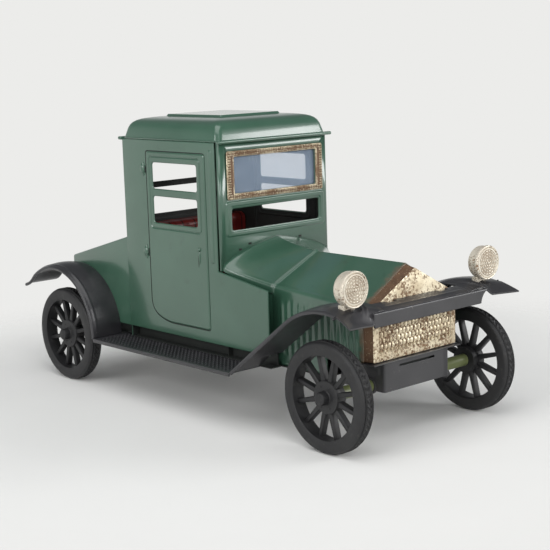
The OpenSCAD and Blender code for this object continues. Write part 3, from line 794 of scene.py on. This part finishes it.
def roof():
    """The roof: one deep pressing whose sides lean in, with a raised panel on top."""
    bm = bmesh.new()
    low, high = (CAB_BACK_X, -CAB_Y), (SCREEN_X, CAB_Y)
    rim = box_loop(bm, low, high, 2.6, 6)
    bmesh.ops.translate(bm, vec=(0, 0, EAVES_Z), verts=bm.verts)
    middle = Vector(((low[0] + high[0]) / 2, 0, 0))
    half = Vector(((high[0] - low[0]) / 2, high[1], 1))
    levels = [(0.45, -0.1), (0.7, 0.3), (2.5, 0.8), (4.2, 1.3), (5.4, 1.9), (6.3, 2.7)]
    levels += [(7, 3.8), (7.5, 5.2), (7.8, 6.8), (8, 8.4), (8.2, 10.4), (8.3, 12.4)]
    was, height, edges = 0.0, 0.0, rim
    for rise, drawn in levels:
        edges, verts = grow(bm, edges)
        size = Vector(((half.x - drawn) / (half.x - was), (half.y - drawn) / (half.y - was), 1))
        bmesh.ops.translate(bm, vec=-middle, verts=verts)
        bmesh.ops.scale(bm, vec=size, verts=verts)
        bmesh.ops.translate(bm, vec=middle + Vector((0, 0, rise - height)), verts=verts)
        was, height = drawn, rise
    top = fill(bm, edges)
    face_up(bm, 2)
    press(bm, top, 0.9, 0.75)
    finished("pressed_roof", bm, TWO_FACED, ["roof"], sheet=TIN)
    bm = bmesh.new()
    for x, out in ((CAB_BACK_X, -1), (SCREEN_X, 1)):
        ends = sorted((x - 0.3 * out, x + 2 * out))
        verts = block(bm, (ends[0], -28.4, EAVES_Z - 0.55), (ends[1], 28.4, EAVES_Z + 0.75))
        edges = {e for v in verts for e in v.link_edges}
        bevelled(bm, list(edges), 0.55, 4)
    finished("roof_gutters", bm, [GREEN], ["roof"])


def floor_pan():
    """The flat floor, open round the motor, with walls turned up inside the sills; all in painted
    shade, so the walls read as the dark gap under the sills.
    """
    bm = bmesh.new()
    back, hole_front, front = -82.3, -41, 41.9
    pan_y, wall_y, ledge_y, hole_y, half_slot = 27.3, 23.9, 22.2, 10.6, 2.5
    strips = [((hole_front, -pan_y), (front, pan_y)), ((front - 1, -ledge_y), (66, ledge_y))]
    for side in (-1, 1):
        sides = sorted((side * hole_y, side * wall_y))
        strips.append(((back, sides[0]), (REAR_AXLE_X - half_slot, sides[1])))
        strips.append(((REAR_AXLE_X + half_slot, sides[0]), (hole_front + 0.1, sides[1])))
        edge = sorted((side * (wall_y - 0.1), side * pan_y))
        strips.append(((back, edge[0]), (-49.9, edge[1])))
    for low, high in strips:
        block(bm, (*low, BOARD_Z - TIN), (*high, BOARD_Z))
    for side in (-1, 1):
        walls = sorted((side * (wall_y - TIN), side * wall_y))
        block(bm, (back, walls[0], BOARD_Z), (front, walls[1], SILL_Z + 2))
    bevelled(bm, list(bm.edges), 0.12, 2)
    # the whole pan takes painted shade
    finished("floor_pan", bm, [SHADOW], ["base_plate"])


def seat_bench():
    """The pressed seat, as far as it stands clear of the sills."""
    bm = bmesh.new()
    bm.from_mesh(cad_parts["seat"].data)
    bmesh.ops.scale(bm, vec=(1 / MM, 1 / MM, 1 / MM), verts=bm.verts)
    bmesh.ops.remove_doubles(bm, verts=bm.verts, dist=0.001)
    cut = bmesh.ops.bisect_plane(
        bm,
        geom=[*bm.verts, *bm.edges, *bm.faces],
        dist=0.0001,
        plane_co=(0, 0, SILL_Z + 2),
        plane_no=(0, 0, 1),
        clear_inner=True,
    )["geom_cut"]
    rim = [g for g in cut if isinstance(g, bmesh.types.BMEdge)]
    bmesh.ops.holes_fill(bm, edges=rim, sides=0)
    finished("seat_bench", bm, [SEAT], ["seat"])


def rear_deck():
    """The sloping box behind the cab, open below and in front."""
    bm = bmesh.new()
    verts = block(bm, (-82.8, -27.3, SILL_Z), (CAB_BACK_X, 27.3, 61.7))
    for vert in verts:
        if vert.co.z > 60 and vert.co.x < -80:
            vert.co.z = 50.4
    bm.faces.ensure_lookup_table()
    open_sides = [f for f in bm.faces if f.normal.z < -0.9 or f.normal.x > 0.9]
    bmesh.ops.delete(bm, geom=open_sides, context="FACES_ONLY")
    bevelled(bm, sharp_edges(bm, 30), 0.9, 4)
    finished("folded_rear_deck", bm, TWO_FACED, ["rear_deck"], sheet=TIN, edge=0.1)


# ---- Bonnet ----


def crest(t, half, ridge, shoulder):
    """A gable over t from -1 to 1, with rounded shoulders, as (y, z)."""
    side, t = math.copysign(1, t), abs(t)
    if t < 0.88:
        run = t / 0.88
        return side * (half - 1.6) * run, ridge + (shoulder + 0.35 - ridge) * run
    turn = (t - 0.88) / 0.12 * math.pi / 2
    return side * (half - 1.6 + 1.6 * math.sin(turn)), shoulder + 0.35 - 1.6 * (1 - math.cos(turn))


def cowl():
    """The cowl: from an arch at the windscreen to the hood's gable."""
    bm = bmesh.new()
    skirt = 0.08

    def place(u, v):
        t = min(1, max(-1, (v * 2 - 1) / (1 - skirt)))
        below = max(0, abs(v * 2 - 1) - (1 - skirt)) / skirt
        turn = t * math.pi / 2
        fall = 0.4 * abs(math.sin(turn)) + 0.6 * (1 - math.cos(turn))
        arch = Vector((27 * math.sin(turn), 64 - 9.4 * fall - below))
        front = Vector(crest(t, HOOD_Y, RIDGE_Z, 50.1)) + Vector((0, -2.2 * below))
        mixed = arch.lerp(front, u**0.7)
        return Vector((SCREEN_X + (BEAD_X - SCREEN_X) * u, mixed.x, mixed.y))

    sheet_of(bm, 24, 120, place)
    finished("rolled_cowl", bm, TWO_FACED, ["cowl"], sheet=TIN, crease=50)


def hood():
    """The hood: a gabled sheet with a bead at the back and ribs down both sides."""
    bm = bmesh.new()
    wall = 0.36
    rib_pitch = 3.1

    def place(u, v):
        x = BEAD_X + (SHELL_X - BEAD_X) * u
        over = v * 2 - 1
        t = min(1, max(-1, over / (1 - wall)))
        down = max(0, abs(over) - (1 - wall)) / wall
        shoulder = 50.1 + (47.1 - 50.1) * u
        y, z = crest(t, HOOD_Y, RIDGE_Z, shoulder)
        foot = BOARD_Z if x < 65 else 28.4
        z += (foot - z) * down
        side = math.copysign(1, over)
        if down > 0:
            place_in_rib = (x - 41) / rib_pitch
            ribbed = ease(x, 41, 42) * ease(x, 80.5, 79.5)
            wave = 0.5 - 0.5 * math.cos(place_in_rib * math.tau)
            depth = ease(z, 45.5, 43.2) * ease(z, 25, 27)
            y += side * 0.42 * wave**1.5 * ribbed * depth
        proud = 0.7 * bell(x - 38.3, 0.36)
        if abs(t) < 0.88:
            z += proud
        elif z > 46:
            y += side * proud
            z += proud * 0.4
        return Vector((x, y, z))

    sheet_of(bm, 220, 130, place)
    finished(
        "ribbed_hood", bm, (NOSE_GREEN, SHADOW), ["hood"], sheet=TIN, crease=50
    )


def hood_returns():
    """The hood's sides, carried back inside the cab's side panels."""
    bm = bmesh.new()
    for side in (-1, 1):
        walls = sorted((side * (HOOD_Y - TIN), side * HOOD_Y))
        block(bm, (BEAD_X - 3, walls[0], BOARD_Z), (BEAD_X + 0.3, walls[1], 48.4))
    bevelled(bm, list(bm.edges), 0.1, 2)
    finished("hood_returns", bm, [GREEN], ["hood"])


def radiator():
    """The radiator: a plated face over a slanting flange, with a woven core."""
    bm = bmesh.new()
    back = [(-21.4, 28.5), (21.4, 28.5), (21.4, 46.9), (0, 59.4), (-21.4, 46.9)]
    face = [(-21, 28.7), (21, 28.7), (21, 47.1), (0, 58.6), (-21, 47.1)]
    rear = loop(bm, back, 0.6, 3)
    bmesh.ops.translate(bm, vec=(0, 0, -4), verts=bm.verts)
    rim = loop(bm, face, 0.6, 3)
    flange = bmesh.ops.bridge_loops(bm, edges=rear + rim)["faces"]
    core = box_loop(bm, (-18.5, 31.3), (18.5, 42))
    front = fill(bm, rim, core)
    inset(bm, front, 0.35, 0.12)
    bmesh.ops.recalc_face_normals(bm, faces=bm.faces)
    if sum(f.normal.z for f in front if f.is_valid) < 0:
        bmesh.ops.reverse_faces(bm, faces=bm.faces)
    for part in flange:
        part.material_index = 1

    def weave(u, v):
        y, z = -18.5 + 37 * u, 31.3 + 10.7 * v
        row = math.floor((z - 32.6) / 2.1)
        strand = math.cos((y / 1.85 + 0.5 * (row % 2)) * math.tau)
        lift = ease(strand, -0.75, 0.3) * abs(math.sin((z - 32.6) / 2.1 * math.pi)) ** 0.5
        if z < 32.6:
            lift = 1 if (y / 1.85) % 1 > 0.45 else 0
        edge = ease(min(u * 37, 37 - u * 37, v * 10.7, 10.7 - v * 10.7), 0, 0.5)
        return Vector((y, z, (-0.35 + 0.6 * lift) * edge))

    woven = sheet_of(bm, 190, 56, weave)
    for part in {f for v in woven for f in v.link_faces}:
        if part.calc_center_median().z < -0.22:
            part.material_index = 1
    bm.transform(facing_forward(NOSE_X))
    finished("plated_radiator", bm, (GRILLE, FLANGE), ["radiator_shell"], crease=30)


def apron():
    """The tray under the radiator and the folded box that carries the front axle."""
    bm = bmesh.new()
    edges = set()
    for vert in block(bm, (66, -22.2, 27.9), (88.3, 22.2, 28.4)):
        edges |= set(vert.link_edges)
    bevelled(bm, list(edges), 0.18, 2)
    # A plate of painted shade behind the apron's slot, which closes the view through it.
    for vert in block(bm, (85.6, -12, 24), (86, 12, 27.95)):
        for face in vert.link_faces:
            face.material_index = 1
    finished("front_tray", bm, [BLACK, SHADOW], ["front_apron"])
    bm = bmesh.new()
    face = box_loop(bm, (-15.6, 17.7), (15.6, 27.8))
    slot = box_loop(bm, (-9, 25.7), (9, 26.5), 0.3)
    fill(bm, face, slot)
    steps = quarter_turn(1, 3) + [(0, -2.9), (0, -6), (0, -11)]
    for side in (-1, 1):
        edges = [e for e in bm.edges if all(abs(v.co.x - side * 15.6) < 0.01 for v in e.verts)]
        fold(bm, edges, [(side * out, 0, back) for out, back in steps])
    bm.transform(facing_forward(87.4))
    face_up(bm, 0)
    finished("folded_apron_box", bm, [BLACK], ["front_apron"], sheet=TIN, edge=0.1)
    bm = bmesh.new()
    for side in (-1, 1):
        known = set(bm.verts)
        turned(bm, [(1.4, 15.9), (3, 15.9), (3, 16.75), (2.8, 16.9), (1.4, 16.9)], 48)
        fresh = [v for v in bm.verts if v not in known]
        bmesh.ops.scale(bm, vec=(1, side, 1), verts=fresh)
    bmesh.ops.translate(bm, vec=(FRONT_AXLE_X, 0, WHEEL_R), verts=bm.verts)
    bmesh.ops.recalc_face_normals(bm, faces=bm.faces)
    finished("axle_lugs", bm, [BLACK], ["front_apron"])


# ---- Fenders and running boards ----

ARC_X, ARC_Z, ARC_R = 83, 18.6, 30.8
LEG_X, LEG_TOP_X = 35, 64.04


def fender_height(x):
    """Height of the front fenders' upper side at x."""
    if x < LEG_TOP_X:
        return BOARD_Z + (x - LEG_X) * 0.7463
    return ARC_Z + math.sqrt(max(0, ARC_R**2 - (x - ARC_X) ** 2))


def front_edge(y, corner):
    """How far forward a front fender reaches at y from the middle, past its inner corner."""
    if y < corner:
        return 92.9 + 2.7 * ease(y, corner - 2.5, corner)
    return 95.6 + 2.4 * (y - corner) / (42.7 - corner)


def roll_over(edge, along, radius):
    """The rolled outer edge of a fender at along from 0 to 1, as (y, drop)."""
    turn = along * math.radians(215)
    return edge - radius + radius * math.sin(turn), radius * (1 - math.cos(turn))


def front_fender(is_left):
    bm = bmesh.new()
    flat = 0.82
    corner, sag = (32, 1.6) if is_left else (28.6, 3.3)

    def place(u, v):
        x = LEG_X + 63 * u
        inner = CAB_Y - 0.4 if x < 41.75 else HOOD_Y
        outer = BOARD_Y + 1.3 * max(0, (x - 88) / 10) ** 2
        rolled = 1 - ease(x, 87.5, 91)
        across = min(1, v / flat)
        y = inner + (outer - 0.7 * rolled - inner) * across
        drop = 0.0
        if v > flat:
            along = (v - flat) / (1 - flat)
            bent, down = roll_over(outer, along, 0.7)
            y = bent * rolled + (y + 0.3 * along) * (1 - rolled)
            drop = down * rolled
        if x > 88:
            x = 88 + (x - 88) / 10 * (front_edge(min(y, 42.7), corner) - 88)
        lift = 0.8 * math.sin(math.pi * across) * ease(x, 36, 46) * ease(x, 99, 92)
        ridge = 23 + 9.5 * max(0, (x - 76) / 19.6) ** 1.5
        shown = ease(x, 76, 81)
        shown *= ease(x, 94, 90)
        lift += 0.42 * shown * (bell(y - ridge - 1, 0.42) + bell(y - ridge + 1, 0.42))
        lift -= 0.5 * shown * bell(y - ridge - 3.2, 1.6)
        dip = (42.7 - y) / (42.7 - corner) if y > corner else ease(y, corner - 5, corner)
        lift -= sag * dip * ease(x, 90, 95.6)
        slope = 0.7463 if x < LEG_TOP_X else -(x - ARC_X) / (fender_height(x) - ARC_Z)
        out = Vector((-slope, 0, 1)).normalized()
        return Vector((x, -y, fender_height(x))) + out * (lift - drop)

    sheet_of(bm, 150, 56, place)
    if is_left:
        mirrored(bm)
    side = "left" if is_left else "right"
    finished(
        "pressed_front_fender_" + side,
        bm,
        [BLACK],
        ["front_fender_bridge"],
        sheet=TIN,
        crease=45,
    )


def fender_bridge():
    """The strip that joins the front fenders, with its turned-down face."""
    bm = bmesh.new()

    def top(u, v):
        x = NOSE_X + 6.2 * u
        y = -22 + 44 * v
        lift = 0.2 * bell(x - 91, 0.5) * ease(abs(y), 21, 18)
        return Vector((x, y, fender_height(x) + lift))

    def face(u, v):
        bend, fall = 0.7, 4.0
        level = fender_height(92.9)
        if v < 0.3:
            turn = v / 0.3 * math.pi / 2
            x, z = 92.9 + bend * math.sin(turn), level - bend * (1 - math.cos(turn))
        else:
            x, z = 92.9 + bend, level - bend - (fall + 0.3) * (v - 0.3) / 0.7
        reach = 32.4 - math.sqrt(max(1.6, 27.04 - max(0, z - 42.4) ** 2))
        if u < 0.5:
            reach = min(reach, 27.4)
        return Vector((x, (2 * u - 1) * reach, z))

    sheet_of(bm, 16, 100, top)
    sheet_of(bm, 110, 24, face, (1, 0, 0))
    holes = []
    for part in bm.faces:
        where = part.calc_center_median()
        if where.x < 88.1 and 11 < abs(where.y) < 15.2:
            holes.append(part)
    bmesh.ops.delete(bm, geom=holes, context="FACES")
    bmesh.ops.remove_doubles(bm, verts=bm.verts, dist=0.01)
    finished(
        "fender_bridge", bm, [BLACK], ["front_fender_bridge"], sheet=TIN, crease=45
    )


def rear_fender(is_left):
    bm = bmesh.new()
    centre_x, centre_z, radius = -77, 20.7, 27
    flat, arc = 0.8, 0.84
    last = math.radians(126)

    def place(u, v):
        across = min(1, v / flat)
        inner = 27.0 if u < arc else 26.2
        y = inner + (BOARD_Y - 0.7 - inner) * across
        lift = 1.0 * math.sin(math.pi * across) ** 0.8 * ease(u, 0, 0.12) * ease(u, 1.02, 0.8)
        lift += 0.25 * bell(y - 39.3, 0.35) * ease(u, 0, 0.1)
        if v > flat:
            y, drop = roll_over(BOARD_Y, (v - flat) / (1 - flat), 0.7)
            lift = -drop
        turn = min(u / arc, 1) * last
        out = Vector((math.cos(turn), 0, math.sin(turn)))
        spot = Vector((centre_x, -y, centre_z)) + out * (radius + lift)
        if u > arc:
            end = Vector((-99.6, -y, 38.3 + lift))
            flare = (u - arc) / (1 - arc)
            spot = spot.lerp(end, flare)
            spot.z -= 0.8 * math.sin(math.pi * flare)
        return spot

    sheet_of(bm, 110, 44, place)
    if is_left:
        mirrored(bm)
    side = "left" if is_left else "right"
    name = "rear_fender_" + side
    finished("pressed_" + name, bm, [BLACK], [name], sheet=TIN, crease=45)


def running_board(is_left):
    """A running board: a field of slanting dashes inside a raised rim."""
    bm = bmesh.new()

    def place(u, v):
        x, y = -50 + 85 * u, 23.9 + 17.5 * v
        rim = ease(min(x + 47, 33 - x, 40.2 - y), 0, 0.4)
        row = math.floor((y - 29) / 2.24)
        along = (x - 0.7 * (y - 29) + (row % 2) * 1.05) / 2.1
        dash = ease(math.cos(along * math.tau), -0.3, 0.5)
        dash *= ease(abs(math.sin((y - 29) / 2.24 * math.pi)), 0.1, 0.5)
        rise = (1 - rim) * 0.2 + rim * 0.5 * dash
        return Vector((x, -y, BOARD_Z - 0.5 + rise))

    sheet_of(bm, 300, 76, place)
    edges = [e for e in bm.edges if all(abs(v.co.y + BOARD_Y) < 0.01 for v in e.verts)]
    fold(bm, edges, [(0, 0, -0.4), (0, 0, -1)])
    face_up(bm, 2)
    if is_left:
        mirrored(bm)
    name = "running_board_" + ("left" if is_left else "right")
    finished("embossed_" + name, bm, [BLACK], [name], sheet=TIN, crease=45)


# ---- Headlights ----


def headlight(is_left):
    """A plated cup on a foot, and a lens with rings of raised dashes."""
    to_place = Matrix.Translation((91.2, -LAMP_Y, LAMP_Z)) @ Matrix.Rotation(
        math.radians(-90), 4, "Z"
    )
    bm = bmesh.new()
    cup = [(0, -0.6), (5.4, -0.6), (5.4, 0.1), (5.55, 0.3), (5.8, 0.38), (6.05, 0.25)]
    cup += [(6.15, 0), (6.15, -0.8)]
    cup += [(5.95, -1.0), (5.85, -1.2), (5.85, -3)]
    cup += [(5.85 * math.cos(a * 0.157), -3 - 3.55 * math.sin(a * 0.157)) for a in range(1, 10)]
    turned(bm, cup + [(0, -6.55)], 64, is_solid=True)
    bmesh.ops.remove_doubles(bm, verts=bm.verts, dist=0.001)
    bmesh.ops.recalc_face_normals(bm, faces=bm.faces)
    bm.transform(to_place)
    known = set(bm.verts)
    block(bm, (85.9, -LAMP_Y - 2.6, 48.4), (88.7, -LAMP_Y + 2.6, LAMP_Z - 5.3))
    fresh = [v for v in bm.verts if v not in known]
    bevelled(bm, list({e for v in fresh for e in v.link_edges}), 0.2, 2)
    if is_left:
        mirrored(bm)
    side = "left" if is_left else "right"
    name = "headlight_shell_" + side
    finished("spun_" + name, bm, [CUP_NICKEL], [name], crease=40)
    bm = bmesh.new()
    lens = [(0, 0.32), (2.6, 0.28), (4.55, 0.1), (4.7, 0.3), (5.1, 0.25), (5.4, -0.1), (5.4, -0.55)]
    lens += [(0, -0.55)]
    turned(bm, lens, 64, is_solid=True)
    for part in bm.faces:
        if math.hypot(part.calc_center_median().x, part.calc_center_median().z) < 4.7:
            part.material_index = 1
    for radius, count in ((1.15, 6), (2.15, 10), (3.15, 14), (4.15, 18)):
        for i in range(count):
            made = bmesh.ops.create_uvsphere(bm, u_segments=8, v_segments=6, radius=1)["verts"]
            long = math.pi * radius / count * 0.78
            bmesh.ops.scale(bm, vec=(0.26, 0.3, long), verts=made)
            bmesh.ops.translate(bm, vec=(radius, 0.36 - 0.012 * radius**2, 0), verts=made)
            turn = Matrix.Rotation((i + 0.5 * (count % 4)) * math.tau / count, 3, "Y")
            bmesh.ops.rotate(bm, cent=(0, 0, 0), matrix=turn, verts=made)
    made = bmesh.ops.create_uvsphere(bm, u_segments=12, v_segments=8, radius=0.5)["verts"]
    bmesh.ops.translate(bm, vec=(0, 0.3, 0), verts=made)
    bmesh.ops.remove_doubles(bm, verts=bm.verts, dist=0.001)
    bmesh.ops.recalc_face_normals(bm, faces=bm.faces)
    bm.transform(to_place)
    if is_left:
        mirrored(bm)
    name = "headlight_lens_" + side
    finished("ringed_" + name, bm, [LAMP_NICKEL, LENS_TIN], [name], crease=40)


# ---- Stage ----


def softbox(name, place, target, size, power, colour=(1, 1, 1)):
    lamp = bpy.data.lights.new(name, "AREA")
    lamp.shape = "RECTANGLE"
    lamp.size, lamp.size_y = size
    lamp.energy = power
    lamp.color = colour
    holder = bpy.data.objects.new(name, lamp)
    bpy.context.scene.collection.objects.link(holder)
    holder.location = place
    holder.rotation_euler = (Vector(target) - Vector(place)).to_track_quat("-Z", "Y").to_euler()


def studio():
    scene = bpy.context.scene
    scene.view_settings.view_transform = "Standard"
    bm = bmesh.new()
    bmesh.ops.create_circle(bm, cap_ends=True, segments=96, radius=1.6)
    mesh = bpy.data.meshes.new("floor")
    bm.to_mesh(mesh)
    bm.free()
    floor = bpy.data.objects.new("floor", mesh)
    scene.collection.objects.link(floor)
    f = Finish("pale_floor")
    away = f.node("ShaderNodeVectorMath", {"operation": "LENGTH"}, [f.place], "Value")
    fade = f.step(away, 0.24, 0.11)
    grain = f.noise(40, 3)
    colour = f.mix(grain, paint(236, 236, 234), paint(240, 240, 238))
    mesh.materials.append(f.done(Base_Color=colour, Roughness=0.7, Alpha=fade))
    world = bpy.data.worlds.new("studio")
    scene.world = world
    world.use_nodes = True
    tree = world.node_tree
    tree.nodes.clear()
    where = tree.nodes.new("ShaderNodeTexCoord")
    apart = tree.nodes.new("ShaderNodeSeparateXYZ")
    ramp = tree.nodes.new("ShaderNodeValToRGB")
    light = tree.nodes.new("ShaderNodeBackground")
    out = tree.nodes.new("ShaderNodeOutputWorld")
    tree.links.new(where.outputs["Generated"], apart.inputs[0])
    tree.links.new(apart.outputs["Z"], ramp.inputs[0])
    tree.links.new(ramp.outputs[0], light.inputs["Color"])
    tree.links.new(light.outputs[0], out.inputs["Surface"])
    pale = paint(236, 236, 234)
    level, overhead = ramp.color_ramp.elements
    level.position, level.color = 0, pale
    overhead.position, overhead.color = 0.5, paint(104, 106, 108)
    ramp.color_ramp.elements.new(0.07).color = pale
    ramp.color_ramp.elements.new(0.22).color = paint(190, 192, 192)
    light.inputs["Strength"].default_value = 1.0
    softbox("top", (0.2, -0.35, 1.25), (0, 0, 0.05), (1.2, 1.2), 9)
    softbox("front", (0.85, 0.75, 0.4), (0, 0, 0.07), (0.6, 0.35), 6)
    softbox("side", (0.1, -1.15, 0.55), (0, 0, 0.05), (0.8, 0.5), 6)
    softbox("near", (1.1, -0.5, 0.6), (0, 0, 0.05), (0.5, 0.5), 4)
    eye = bpy.data.cameras.new("camera")
    eye.lens = 85.34
    eye.sensor_width = 36
    eye.clip_start, eye.clip_end = 0.02, 20
    camera = bpy.data.objects.new("camera", eye)
    scene.collection.objects.link(camera)
    camera.matrix_world = Matrix(
        (
            (0.66912, -0.10572, 0.73559, 0.382643),
            (0.74250, 0.13648, -0.65579, -0.327773),
            (-0.03106, 0.98499, 0.16982, 0.133162),
            (0, 0, 0, 1),
        )
    )
    scene.camera = camera


coat(PANE, "windscreen_pane")
coat(OLIVE, "front_sleeve_right", "front_sleeve_left")
coat(STEEL, "front_axle", "rear_axle", "layshaft", "flywheel_shaft", "flywheel")
coat(STEEL, "motor_plate_right", "motor_plate_left", "motor_posts")
coat(BRASS, "axle_gear", "layshaft_pinion", "layshaft_gear", "flywheel_pinion")
wheels()
windscreen_wall()
back_wall()
windscreen_frame()
roof()
floor_pan()
seat_bench()
rear_deck()
cowl()
hood()
hood_returns()
radiator()
apron()
fender_bridge()
for is_left in (False, True):
    cab_side(is_left)
    front_fender(is_left)
    rear_fender(is_left)
    running_board(is_left)
    headlight(is_left)
studio()
